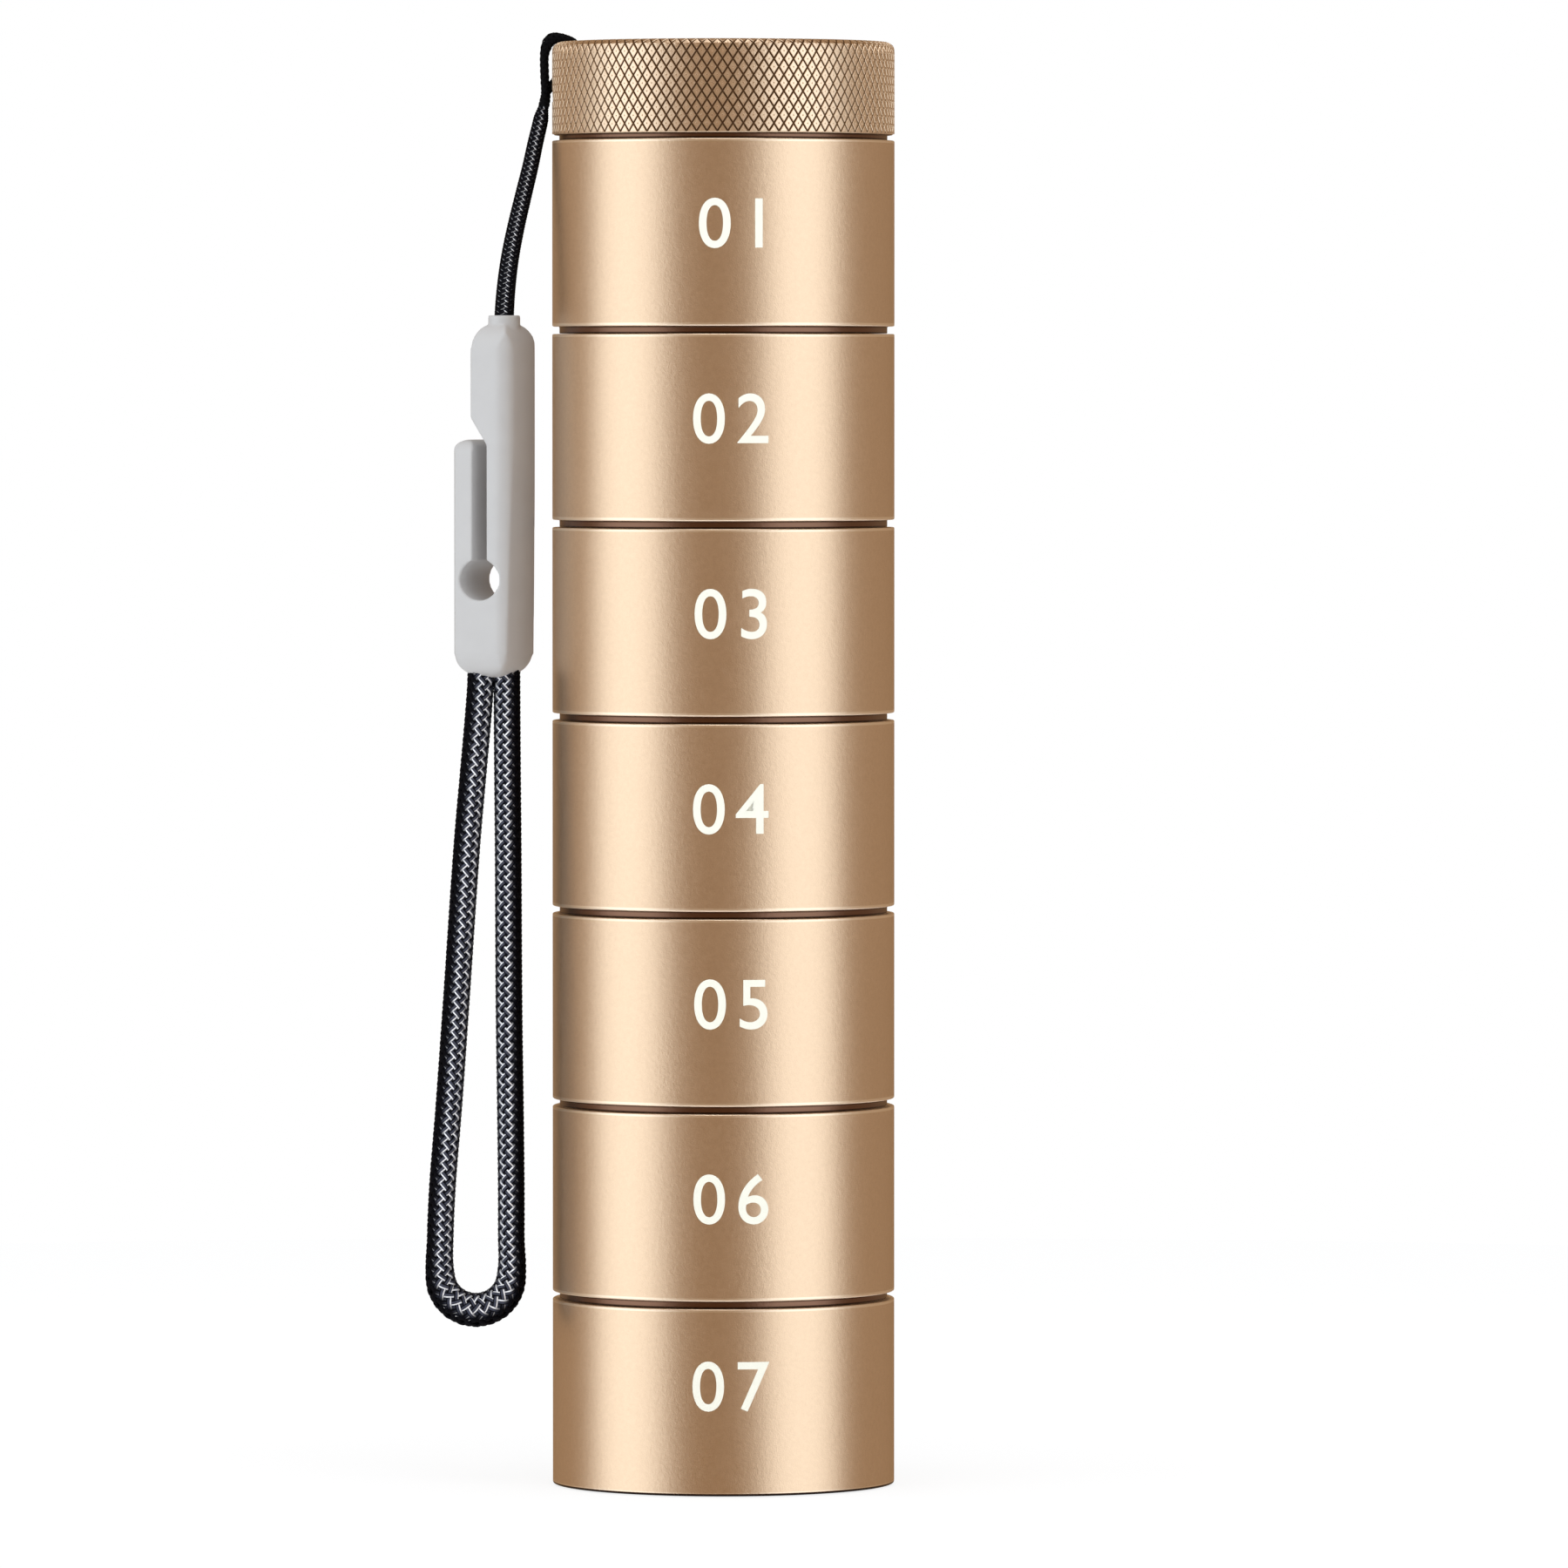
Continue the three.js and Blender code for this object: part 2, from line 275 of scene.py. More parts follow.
def smoothed(mesh, sharpDegrees):
    mesh.shade_smooth()
    mesh.set_sharp_from_angle(angle=math.radians(sharpDegrees))


def roundedPath(corners, closed=False, steps=5):
    # Corners are (across, up) or (across, up, fillet); fillets become arcs
    points = []
    count = len(corners)
    for place, corner in enumerate(corners):
        here = Vector(corner[:2])
        fillet = corner[2] if len(corner) > 2 else 0
        if not fillet or (not closed and place in (0, count - 1)):
            points.append(here)
            continue
        back = (Vector(corners[place - 1][:2]) - here).normalized()
        ahead = (Vector(corners[(place + 1) % count][:2]) - here).normalized()
        half = math.acos(max(-1, min(1, back.dot(ahead)))) / 2
        centre = here + (back + ahead).normalized() * fillet / math.sin(half)
        arm = here + back * fillet / math.tan(half) - centre
        side = 1 if back.x * ahead.y - back.y * ahead.x < 0 else -1
        for step in range(steps + 1):
            turn = side * (math.pi - 2 * half) * step / steps
            points.append(centre + Matrix.Rotation(turn, 2) @ arm)
    return points


def evenAngles(count):
    return [i * fullTurn / count for i in range(count)]


def anglesOf(loop):
    return [math.atan2(v.co.y, v.co.x) for v in loop]


def ringOf(bm, angles, radius, height):
    ring = []
    for angle in angles:
        place = (radius * math.cos(angle), radius * math.sin(angle), height)
        ring.append(bm.verts.new(Vector(place) * mm))
    return ring


def bridge(bm, lower, upper):
    # Faces between two rings, of which one may be a single point
    count = max(len(lower), len(upper))
    for i in range(count):
        places = ((lower, i), (lower, i + 1), (upper, i + 1), (upper, i))
        corners = [ring[place % len(ring)] for ring, place in places]
        bm.faces.new(list(dict.fromkeys(corners)))


def turnRings(bm, profile, angles):
    # A profile of (radius, height) turned round the axis; a radius of 0 closes it
    rings = []
    for radius, height in profile:
        if radius == 0:
            rings.append([bm.verts.new(Vector((0, 0, height)) * mm)])
        else:
            rings.append(ringOf(bm, angles, radius, height))
        if len(rings) > 1:
            bridge(bm, rings[-2], rings[-1])
    return rings


def turnedPiece(name, profile, count):
    bm = bmesh.new()
    turnRings(bm, profile, evenAngles(count))
    return pieceFrom(name, meshFrom(bm, name))


def cutWith(body, tool, operation):
    # Works a tool into a body, and takes the tool away
    modifier = body.modifiers.new("cut", "BOOLEAN")
    setAll(modifier, operation=operation, solver="EXACT", object=tool)
    made = baked(body)
    body.modifiers.remove(modifier)
    body.data = made
    bpy.data.objects.remove(tool)


def mark(bm, value, inner, outer, low, high):
    # Paints light and shade into the metal's colour between two radii and two heights: a painted
    # highlight below 0, painted shade above it
    layer = bm.verts.layers.float.get("recess") or bm.verts.layers.float.new("recess")
    for vertex in bm.verts:
        if inner < vertex.co.xy.length / mm < outer and low < vertex.co.z / mm < high:
            vertex[layer] = value


def markGroove(bm, seat, step):
    # Painted shade in the groove under a sleeve: dark, and darkest along its two corners
    low, high = -0.01, step + 0.02
    bands = ((1.4, low, high), (1.7, step - 0.15, high), (2.0, low, stack["seatGap"] + 0.15))
    for value, start, end in bands:
        mark(bm, value, stepRadius - 0.02, stack["radius"] - 0.18, seat + start, seat + end)


def centripetal(route, spacing):
    # A smooth line through given points, sampled evenly along its length
    points = [Vector(p) for p in route]
    points = [points[0] * 2 - points[1], *points, points[-1] * 2 - points[-2]]
    fine = []
    steps = 40
    for four in zip(points, points[1:], points[2:], points[3:]):
        knots = [0]
        for p, q in zip(four, four[1:]):
            knots.append(knots[-1] + math.sqrt((q - p).length))
        for step in range(steps):
            t = knots[1] + (knots[2] - knots[1]) * step / steps
            level = four
            for spans in (((0, 1), (1, 2), (2, 3)), ((0, 2), (1, 3)), ((1, 2),)):
                level = [
                    p.lerp(q, (t - knots[low]) / (knots[high] - knots[low]))
                    for p, q, (low, high) in zip(level, level[1:], spans)
                ]
            fine.append(level[0])
    fine.append(points[-2])
    total = sum((q - p).length for p, q in zip(fine, fine[1:]))
    count = max(2, round(total / spacing))
    line, walked, target = [fine[0]], 0.0, total / count
    for p, q in zip(fine, fine[1:]):
        stretch = (q - p).length
        while stretch > 0 and walked + stretch >= target * len(line) - 1e-9 and len(line) < count:
            line.append(p.lerp(q, (target * len(line) - walked) / stretch))
        walked += stretch
    line.append(fine[-1])
    return line, total


# Shader helpers and the group that every material uses
def grainGroup():
    # Fine blasted or moulded grain: an uneven shade and a bumpy normal at two sizes
    tree, given, result = newTree(
        "grain",
        "ShaderNodeTree",
        {"finePerMetre": 8000.0, "coarsePerMetre": 1500.0, "depth": 0.2},
        {"Shade": "Float", "Cloud": "Float", "Normal": "Vector"},
    )
    place = put(tree, "ShaderNodeTexCoord", output="Object")
    fine, coarse = [
        put(tree, "ShaderNodeTexNoise", {"Vector": place, "Scale": scale, "Detail": detail})
        for scale, detail in ((given.finePerMetre, 2.0), (given.coarsePerMetre, 3.0))
    ]
    both = coarse * 0.5 + fine * 0.5
    feeds = {"Strength": given.depth, "Distance": 0.00004, "Height": both}
    feed(result, {0: both, 1: coarse, 2: put(tree, "ShaderNodeBump", feeds)})
    return tree


def grainIn(tree, fine, coarse, depth):
    shade = put(tree, "ShaderNodeGroup", {0: fine, 1: coarse, 2: depth}, node_tree=grain)
    return shade, shade.of(1), shade.of(2)


def shaderOf(name):
    material = bpy.data.materials.new(name)
    material.use_nodes = True
    tree = material.node_tree
    tree.nodes.clear()
    principled = tree.nodes.new("ShaderNodeBsdfPrincipled")
    output = tree.nodes.new("ShaderNodeOutputMaterial")
    feed(output, {0: Wire(principled.outputs[0])})
    return material, tree, principled


def blendColour(share, first, second):
    feeds = {"Factor": share, 6: first, 7: second}
    return put(share.tree, "ShaderNodeMix", feeds, 2, data_type="RGBA")


metal = {
    "bright": (0.84, 0.665, 0.49),
    "deep": (0.77, 0.60, 0.435),
    # Painted light: the cut colour is a painted highlight along the sleeves' edges and on the knurl's
    # flats; the line, groove and seam colours are painted shade in the knurl's lines, in the grooves
    # and, darkest, along the grooves' corners and the base's foot
    "cut": (1.0, 0.86, 0.69),
    "line": (0.28, 0.18, 0.1),
    "painted_groove_shade": (0.21, 0.12, 0.082),
    "painted_darkest_shade": (0.02, 0.012, 0.01),
    "roughness": 0.38,
    "grain": (9000.0, 2600.0, 0.6),
}


def champagneMetal():
    material, tree, principled = shaderOf("champagne_aluminium")
    shade, cloud, normal = grainIn(tree, *metal["grain"])
    # Painted light: below 0 a painted highlight along the cut edges, to 1 painted shade in a knurl
    # line, to 2 painted shade in a groove and, darkest, its seams
    recess = put(tree, "ShaderNodeAttribute", output="Fac", attribute_name="recess")
    colour = blendColour(rangeOf(shade, 0.35, 0.65), metal["deep"], metal["bright"])
    layers = (("cut", 0.0, -0.8), ("line", 0.02, 0.15), ("painted_groove_shade", 1.0, 1.4), ("painted_darkest_shade", 1.4, 2.0))
    for name, start, end in layers:
        colour = blendColour(rangeOf(recess, start, end), colour, metal[name])
    rough = rangeOf(cloud, 0.3, 0.7, metal["roughness"] - 0.01, metal["roughness"] + 0.01)
    rough = rough + rangeOf(recess, 0.0, 0.2, 0.0, 0.3)
    rough = rough + rangeOf(recess, 1.0, 1.4, 0.0, -0.38)
    feed(principled, {"Base Color": colour, "Roughness": rough, "Metallic": 1, "Normal": normal})
    return material


finishes = {
    "seal_rubber": {
        "grain": (5000.0, 900.0, 0.25),
        "colours": ((0.012, 0.012, 0.012), (0.03, 0.03, 0.03)),
        "roughness": (0.5, 0.66),
    },
    "grey_plastic": {
        "grain": (3500.0, 350.0, 0.12),
        "colours": ((0.475, 0.468, 0.464), (0.525, 0.518, 0.514)),
        "roughness": (0.42, 0.5),
    },
    "white_ink": {
        "grain": (7000.0, 1300.0, 0.2),
        "colours": ((0.82, 0.81, 0.7), (0.88, 0.87, 0.76)),
        "roughness": (0.5, 0.6),
    },
}


def plainFinish(name):
    # Rubber, moulded plastic and ink: two close colours and an uneven shine
    finish = finishes[name]
    material, tree, principled = shaderOf(name)
    shade, cloud, normal = grainIn(tree, *finish["grain"])
    colour = blendColour(cloud, *finish["colours"])
    rough = rangeOf(shade, 0.3, 0.7, *finish["roughness"])
    feed(principled, {"Base Color": colour, "Roughness": rough, "Normal": normal})
    return material


def rampOf(value, places):
    ramp = put(value.tree, "ShaderNodeValToRGB", {0: value})
    stops = ramp.socket.node.color_ramp.elements
    while len(stops) < len(places):
        stops.new(0.5)
    for stop, (place, colour) in zip(stops, places):
        stop.position = place
        stop.color = (*colour, 1)
    return ramp


yarn = {
    "navy": (0.002, 0.002, 0.004),
    # grey, dusk and white are painted sheen and glints on the glossy black strands
    "grey": (0.065, 0.07, 0.1),
    "dusk": (0.03, 0.032, 0.045),
    "white": (0.95, 0.96, 1.0),
    "black": (0.002, 0.002, 0.003),
    "worn": (0.005, 0.005, 0.006),
    "grain": (16000.0, 2500.0, 0.5),
    "surface": {"Roughness": 0.7, "Specular IOR Level": 0.06},
}


def yarnMaterial(name, yarns, paintedSideShade):
    # Each strand is laid from yarn colours side by side: "across" runs over them from edge to edge, and
    # the grey and white among them are painted sheen and glints.
    # A second ramp says how much of them shows round the cord: towards its outer sides it fades to
    # navy, painted shade
    material, tree, principled = shaderOf(name)
    across, outer = [
        put(tree, "ShaderNodeAttribute", output="Fac", attribute_name=label)
        for label in ("across", "outer")
    ]
    shade, cloud, normal = grainIn(tree, *yarn["grain"])
    stops = [(place, yarn[colour]) for colour, *places in yarns for place in places]
    laid = rampOf(rangeOf(across, -1, 1), stops)
    shown = rampOf(rangeOf(outer, -1, 1), [(place, (v, v, v)) for place, v in paintedSideShade])
    lit = laid * rangeOf(shade, 0.3, 0.7, 0.55, 1.25)
    colour = blendColour(put(tree, "ShaderNodeRGBToBW", {0: shown}), yarn["navy"], lit)
    feed(principled, {"Base Color": colour, "Normal": normal, **yarn["surface"]})
    return material


# Cords: strands braided round a path, over a core that fills them
strandSides = 6
coreSides = 16


def rodOf(tree, sides, steps):
    # A rod from -0.5 to 0.5, which its tree then bends into place
    feeds = {"Vertices": sides, "Side Segments": steps, "Depth": 1.0}
    return put(tree, "GeometryNodeMeshCylinder", feeds, fill_type="NGON")


def strandTree():
    radii = ("startRadius", "bodyRadius", "endRadius", "swellLength")
    section = ("lay", "crossingHeight", "halfWidth", "halfThickness")
    tree, given, result = shapeTree(
        "strands",
        {"strands": 16, "steps": 100, "firstTurn": 0.0, "coreShare": 0.9},
        (*radii, *section, "bulge", "bulgePlace", "bulgeReach"),
    )
    path = put(tree, "GeometryNodeMeshToCurve", {"Mesh": given.Geometry})
    length = put(tree, "GeometryNodeCurveLength", {0: path})
    feeds = {"Count": given.strands, "Offset": (0, 0, 0)}
    seeds = put(tree, "GeometryNodeMeshLine", feeds, mode="OFFSET", count_mode="TOTAL")
    feeds = {"Points": seeds, "Instance": rodOf(tree, strandSides, given.steps)}
    rods = put(tree, "GeometryNodeInstanceOnPoints", feeds)
    numbered = stored(rods, "strand", put(tree, "GeometryNodeInputIndex"), "INSTANCE")
    real = put(tree, "GeometryNodeRealizeInstances", {"Geometry": numbered})
    number = put(tree, "GeometryNodeInputNamedAttribute", {"Name": "strand"}, data_type="FLOAT")
    x, y, z = partsOf(put(tree, "GeometryNodeInputPosition"))
    share = z + 0.5
    walked = share * length
    # Every other strand turns the other way; a quarter is added so that no whole number slips
    turn = ((number + 0.25) % 2.0).work("FLOOR") * -2.0 + 1.0
    place = ((number + 0.25) / 2.0).work("FLOOR")
    perWay = given.strands / 2.0
    lays = walked / given.lay
    angle = (turn * lays + (place / perWay + given.firstTurn)) * fullTurn
    wave = (perWay * lays * fullTurn).work("COSINE") * turn * given.crossingHeight
    sizes = (given.swellLength, given.startRadius, given.bodyRadius)
    swollen = rangeOf(walked, 0.0, *sizes, "SMOOTHSTEP")
    radius = (given.endRadius - given.bodyRadius) * share + swollen
    width = given.halfWidth * (radius / given.bodyRadius)
    feeds = {"Curves": path, "Factor": share}
    point = put(tree, "GeometryNodeSampleCurve", feeds, "Position", mode="FACTOR")
    along, normal = point.of("Tangent"), point.of("Normal")
    binormal = along.work("CROSS_PRODUCT", normal)
    cosine, sine = angle.work("COSINE"), angle.work("SINE")
    outward = normal * cosine + binormal * sine
    around = binormal * cosine - normal * sine
    # The side that faces away from the bend, and the swelling that a tight bend gives it
    flank = along.work("CROSS_PRODUCT", (0, -1, 0)).work("NORMALIZE")
    outer = outward.work("DOT_PRODUCT", flank).of("Value")
    away = (walked - given.bulgePlace).work("ABSOLUTE")
    swelling = rangeOf(away, 0.0, given.bulgeReach, given.bulge, 0.0, "SMOOTHSTEP")
    centre = point + flank * (swelling * 0.5)
    # Lifted over and under its neighbours, every strand keeps its place round the path
    slope = (radius * fullTurn / given.lay).work("ARCTANGENT")
    sideways = along * (turn * slope.work("SINE")) - around * slope.work("COSINE")
    height = y * given.halfThickness + (radius + wave)
    spread = flank * (outer * swelling * 0.5)
    # across carries each strand's yarn colours and painted glints; outer lets painted shade darken the
    # side away from the bend
    marked = stored(stored(real, "across", x * turn), "outer", outer)
    laid = moved(marked, centre + spread + outward * height + sideways * (x * width))
    coreRadius = radius * given.coreShare
    filled = centre + (normal * (x * coreRadius) + binormal * (y * coreRadius))
    core = moved(rodOf(tree, coreSides, given.steps), filled)
    return closeTree(joined([laid, core]), given, result)


def makeCord(name, cord, top, material):
    # The route is counted from the point top; a bulge is at its lowest point if not placed
    line, total = centripetal([top + Vector(p) for p in cord["route"]], cord["spacing"])
    lowest = min(range(len(line)), key=lambda i: line[i].z)
    values = {"bulgePlace": total * lowest / (len(line) - 1), **cord, "Material": material}
    values["steps"] = round(total / cord["stepLength"])
    path = bpy.data.meshes.new(name)
    edges = [(i, i + 1) for i in range(len(line) - 1)]
    path.from_pydata([p * mm for p in line], edges, [])
    mesh = settle(name, path, strands, values)
    smoothed(mesh, 60)
    return pieceFrom(name, mesh, material), line, total


wristLoop = {
    "diameter": 2.4,
    "strands": 16, "lay": 7.6, "firstTurn": 0.034,
    "startRadius": 1.1, "bodyRadius": 1.1, "endRadius": 1.1,
    "crossingHeight": 0.08, "halfWidth": 0.235, "halfThickness": 0.12, "coreShare": 0.88,
    "bulge": 0.7, "bulgeReach": 8,
    "spacing": 0.15, "stepLength": 0.15,
    # Its first and last points are hidden in the clip
    "route": [
        (-6.14, 0.75, -53.1), (-6.14, 0.75, -54.6), (-6.34, 0.75, -57.5), (-6.87, 0.74, -63.5),
        (-7.4, 0.7, -69.5), (-8.5, 0.6, -85.4), (-9.15, 0.5, -94.5), (-9.75, 0.4, -102),
        (-9.95, 0.35, -106.5), (-9.95, 0.3, -109.5), (-9.5, 0.3, -111.55), (-8.3, 0.3, -112.8),
        (-6.63, 0.3, -113.25), (-4.95, 0.3, -112.8), (-3.75, 0.3, -111.55), (-3.3, 0.3, -109.5),
        (-3.3, 0.35, -106.5), (-3.3, 0.4, -102), (-3.38, 0.5, -94.5), (-3.5, 0.6, -85.4),
        (-3.58, 0.7, -69.5), (-3.63, 0.74, -63.5), (-3.67, 0.75, -57.5), (-3.68, 0.75, -54.6),
        (-3.68, 0.75, -53.1),
    ],
}

upperCord = {
    "strands": 12, "lay": 2.9, "firstTurn": 1 / 24,
    "startRadius": 0.37, "bodyRadius": 0.6, "endRadius": 0.82, "swellLength": 1.6,
    "crossingHeight": 0.06, "halfWidth": 0.17, "halfThickness": 0.075, "coreShare": 0.9,
    "spacing": 0.08, "stepLength": 0.08,
    "route": [
        (-0.15, 0, -0.7), (-0.32, 0, -1.4), (-0.58, 0, -2.65), (-0.95, 0, -4.2), (-1.42, 0, -6.4),
        (-2.1, 0, -9.2), (-2.85, 0, -12.4), (-3.4, 0, -15.3), (-3.75, 0, -18.2), (-3.9, 0, -20.55),
        (-3.9, 0, -21.3),
    ],
}

hangString = {
    "strands": 8, "lay": 2.2,
    "startRadius": 0.35, "bodyRadius": 0.35, "endRadius": 0.35,
    "crossingHeight": 0.03, "halfWidth": 0.17, "halfThickness": 0.05, "coreShare": 0.95,
    "bulge": 0.34, "bulgePlace": 5.35, "bulgeReach": 2,
    "spacing": 0.06, "stepLength": 0.07,
    "route": [
        (-0.6, -0.1, -4.86), (-0.61, -0.2, -4.6), (-0.66, -0.3, -3.8), (-0.71, -0.3, -2.6),
        (-0.73, -0.28, -1.4), (-0.66, -0.22, -0.5), (-0.44, -0.14, 0.15), (0.02, -0.06, 0.5),
        (0.75, 0, 0.46), (1.45, 0, 0.25), (1.96, 0, -0.02), (2.05, 0, -0.45), (1.71, 0, -1.05),
        (0.9, 0, -2.5), (0.35, 0, -3.5), (-0.05, 0.02, -4.05), (-0.38, 0.1, -4.45),
        (-0.56, 0.13, -4.7), (-0.6, 0.1, -4.86),
    ],
}

# The string's two ends, served together with black thread over the top of the braid
head = {
    "strands": 8, "lay": 1.5,
    "startRadius": 0.36, "bodyRadius": 0.42, "endRadius": 0.42, "swellLength": 1,
    "crossingHeight": 0.04, "halfWidth": 0.19, "halfThickness": 0.07, "coreShare": 0.95,
    "spacing": 0.05, "stepLength": 0.06,
    "route": [(0, 0, 0.42), (-0.01, 0, 0.2), (-0.03, 0, -0.1), (-0.1, 0, -0.45), (-0.18, 0, -0.86)],
}


# Compartments: a turned cup, its thread neck and its socket
neck = {
    "gland": 12.9, "glandHeight": 1.3,
    "root": 13.25, "height": 4.5, "chamfer": 0.45,
    "chamber": 12, "chamberFloor": 6.05, "baseFloor": 1.5,
}
socket = {
    "root": 13.9, "depth": 4.85,
    "mouth": 14.35, "mouthHeight": 1.9, "mouthChamfer": 0.3,
}
thread = {
    "pitch": 1.5, "turns": 1.9, "baseWidth": 1.0, "crestShare": 0.35, "sunk": 0.08, "steps": 150,
    "start": 1.85, "taper": 3.0, "maleRise": 0.5, "femaleRise": 0.45,
}


def socketCorners(step):
    mouth = socket["mouth"]
    low = stack["seatGap"]
    return [
        (0, socket["depth"]),
        (socket["root"], socket["depth"], 0.3),
        (socket["root"], socket["mouthHeight"], 0.1),
        (mouth, socket["mouthHeight"]),
        (mouth, low + socket["mouthChamfer"]),
        (mouth + socket["mouthChamfer"], low),
        (stepRadius, low, 0.06),
        (stepRadius, low + 0.17),
        (stepRadius, step - 0.17),
        (stepRadius, step, 0.12),
    ]


def neckCorners(shoulder, floor):
    radius = stack["radius"]
    top = shoulder + neck["height"]
    gland = shoulder + neck["glandHeight"]
    return [
        (radius, shoulder - 0.31),
        (radius, shoulder - 0.21),
        (radius, shoulder, 0.12),
        (neck["gland"], shoulder, 0.05),
        (neck["gland"], gland, 0.1),
        (neck["root"], gland, 0.08),
        (neck["root"], top - neck["chamfer"]),
        (neck["root"] - neck["chamfer"], top),
        (neck["chamber"], top, 0.15),
        (neck["chamber"], floor, 0.9),
        (0, floor),
    ]


def threadTree():
    # A bar of thread section wrapped round as a right-hand helix, thin at its two ends
    tree, given, result = shapeTree(
        "thread",
        {"turns": 1.9, "crestShare": 0.35, "taperTurns": 0.1, "steps": 150},
        ("rootRadius", "rise", "pitch", "startHeight", "baseWidth", "sunk"),
    )
    bar = put(tree, "GeometryNodeMeshCube", {"Vertices X": given.steps})
    x, y, z = partsOf(put(tree, "GeometryNodeInputPosition"))
    turns = (x + 0.5) * given.turns
    ends = turns.work("MINIMUM", given.turns - turns) / given.taperTurns
    full = rangeOf(ends, 0.0, 1.0, kind="SMOOTHSTEP")
    crest = y + 0.5
    sunk = given.rise.work("SIGN") * given.sunk
    radius = given.rootRadius + crest * given.rise * full - sunk
    narrow = crest * (given.crestShare - 1.0) + 1.0
    wide = narrow * given.baseWidth * full
    wide = wide.work("MAXIMUM", given.baseWidth * 0.06)
    height = z * wide + (turns * given.pitch + given.startHeight)
    wrapped = moved(bar, polar(turns * fullTurn, radius, height))
    outside = given.rise.work("GREATER_THAN", 0.0)
    turned = put(tree, "GeometryNodeFlipFaces", {"Mesh": wrapped, "Selection": outside})
    return closeTree(turned, given, result)


def addThread(bm, rootRadius, rise, startHeight):
    # A ridge that stands out from a neck or, with a negative rise, inwards in a socket
    ridge = {"rootRadius": rootRadius, "rise": rise, "startHeight": startHeight}
    taperTurns = thread["taper"] / (fullTurn * rootRadius)
    values = {**thread, **ridge, "taperTurns": taperTurns}
    mesh = settle("thread", bpy.data.meshes.new("thread"), threads, values)
    bm.from_mesh(mesh)
    bpy.data.meshes.remove(mesh)


def addFemaleThread(bm, seat):
    # Half a pitch above the neck's thread, so that the closed joint meshes
    start = seat + thread["start"] + thread["pitch"] / 2
    addThread(bm, socket["root"], -thread["femaleRise"], start)


def makeCompartment(number):
    node = "compartment_%d" % number
    seat = seats[number]
    radius = stack["radius"]
    isBase = number == stack["count"]
    if isBase:
        foot, floor = 0, neck["baseFloor"]
        corners = [(0, 0), (radius, 0, 0.2), (radius, 0.26), (radius, 0.36)]
    else:
        foot, floor = stack["grooveHeight"], neck["chamberFloor"]
        corners = socketCorners(foot)
        corners += [(radius, foot, 0.15), (radius, foot + 0.25), (radius, foot + 0.35)]
    shoulder = foot + stack["sleeveHeight"]
    corners += neckCorners(shoulder, floor)
    bm = bmesh.new()
    profile = [(p.x, p.y + seat) for p in roundedPath(corners)]
    turnRings(bm, profile, evenAngles(stack["segments"]))
    # A painted highlight runs round both edges of the sleeve, and painted shade makes a dark line round
    # the lowest foot
    reach = stack["highlightHeight"]
    for edge in (seat + foot, seat + shoulder):
        mark(bm, -1.0, radius - stack["highlightDepth"], radius + 1, edge - reach, edge + reach)
    if isBase:
        mark(bm, 2.0, radius - 1, radius + 1, -1, 0.2)
    else:
        markGroove(bm, seat, foot)
    addThread(bm, neck["root"], thread["maleRise"], seat + shoulder + thread["start"])
    if not isBase:
        addFemaleThread(bm, seat)
    piece = pieceFrom("turned_" + node, meshFrom(bm, node), champagne)
    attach(piece, node)
    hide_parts(node)


sealRing = {
    "radius": 13.55,
    "section": 0.5,
    "segments": 120,
    "sides": 16,
}


def makeSealRing(number):
    node = "seal_ring_%d" % number
    low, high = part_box(node)
    middle = (low.z + high.z) / 2 / mm
    section = sealRing["section"]
    bm = bmesh.new()
    angles = evenAngles(sealRing["segments"])
    rings = []
    for angle in evenAngles(sealRing["sides"]):
        radius = sealRing["radius"] + section * math.cos(angle)
        rings.append(ringOf(bm, angles, radius, middle + section * math.sin(angle)))
    for lower, upper in zip(rings, rings[1:] + rings[:1]):
        bridge(bm, lower, upper)
    piece = pieceFrom("rubber_" + node, meshFrom(bm, node, 80), rubber)
    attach(piece, node)
    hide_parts(node)


# The knurled cap
cap = {
    "columns": 104, "rows": 12, "diamondHeight": 1.485,
    "knurlStart": 0.64,
    "grooveHeight": 0.53,
    "cornerRadius": 0.8, "cornerSteps": 6,
    "grooveDepth": 0.15, "flatShare": 0.73, "dimpleShare": 0.16, "dimpleDepth": 0.07,
    "eyeRadius": 0.7, "eyeInset": 2.25, "eyeDrop": 4.2,
}


def diamondCell(kind):
    # One diamond: corners in the groove, a flat, and a small dimple in its middle; z is out
    across = math.pi * stack["radius"] / cap["columns"] * mm
    up = cap["diamondHeight"] / 2 * mm
    deep = -cap["grooveDepth"] * mm
    flat = cap["flatShare"]
    bm = bmesh.new()
    if kind == "whole":
        rings = []
        for share, height in ((1, deep), (flat, 0), (cap["dimpleShare"], 0)):
            corners = ((-across, 0), (0, -up), (across, 0), (0, up))
            rings.append([bm.verts.new((x * share, y * share, height)) for x, y in corners])
        rings.append([bm.verts.new((0, 0, -cap["dimpleDepth"] * mm))])
        for outer, inner in zip(rings, rings[1:]):
            bridge(bm, outer, inner)
    else:
        side = 1 if kind == "upper" else -1
        corners = ((-across, 0), (across, 0), (0, side * up))
        outer = [bm.verts.new((x, y, deep)) for x, y in corners]
        inner = [bm.verts.new((x * flat, y * flat, 0)) for x, y in corners]
        left = [outer[0], inner[0], inner[2], outer[2]]
        right = [inner[1], outer[1], outer[2], inner[2]]
        for face in (left, right, inner):
            bm.faces.new(face[::side])
    return bpy.data.objects.new("diamond_" + kind, meshFrom(bm, "diamond_" + kind, None))


